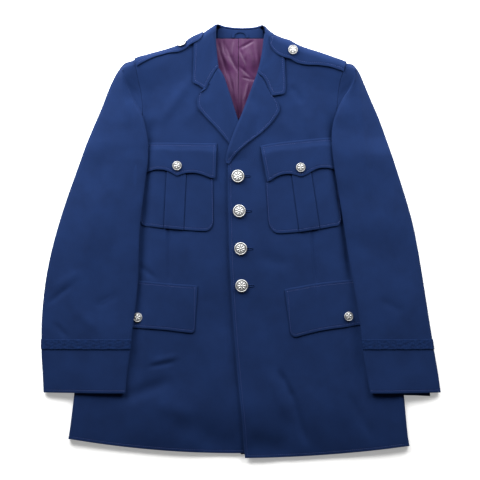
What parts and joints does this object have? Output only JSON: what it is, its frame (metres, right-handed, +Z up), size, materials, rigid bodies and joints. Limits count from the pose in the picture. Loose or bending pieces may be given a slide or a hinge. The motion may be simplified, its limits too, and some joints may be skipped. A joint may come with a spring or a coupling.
{
  "type": "service coat",
  "caption": "Single-breasted service coat, buttoned and lying flat: notch lapels, shoulder straps, pleated breast pockets, flapped hip pockets, sleeves over the skirt.",
  "frame": {"origin": "on the surface that the coat lies on, under the middle of its outline", "axes": "+X to the wearer's left, +Y to the collar, +Z up from the surface, out of the coat's front"},
  "size_m": [0.739, 0.8005, 0.0332],
  "materials": {
    "serge": "matt navy serge",
    "braid": "ribbed darker navy braid",
    "lining": "burgundy satin",
    "buttons": "silver-coloured, slightly dulled"
  },
  "bodies": {
    "root": {"back_left": "serge", "back_right": "serge", "breast_flap_left": "serge", "breast_flap_right": "serge", "breast_pocket_left": "serge", "breast_pocket_right": "serge", "collar_leaf": "serge", "collar_stand": "serge", "flap_button_breast_left": "buttons", "flap_button_breast_right": "buttons", "flap_button_hip_left": "buttons", "flap_button_hip_right": "buttons", "front_button_1": "buttons", "front_button_2": "buttons", "front_button_3": "buttons", "front_button_4": "buttons", "front_left": "serge", "front_right": "serge", "hanger_loop": "lining", "hip_flap_left": "serge", "hip_flap_right": "serge", "lapel_left": "serge", "lapel_right": "serge", "lining_left": "lining", "lining_right": "lining", "shoulder_strap_left": "serge", "shoulder_strap_right": "serge", "sleeve_braid_left": "braid", "sleeve_braid_right": "braid", "sleeve_top_left": "serge", "sleeve_top_right": "serge", "sleeve_under_left": "serge", "sleeve_under_right": "serge", "strap_button_left": "buttons", "strap_button_right": "buttons"}
  },
  "joints": []
}
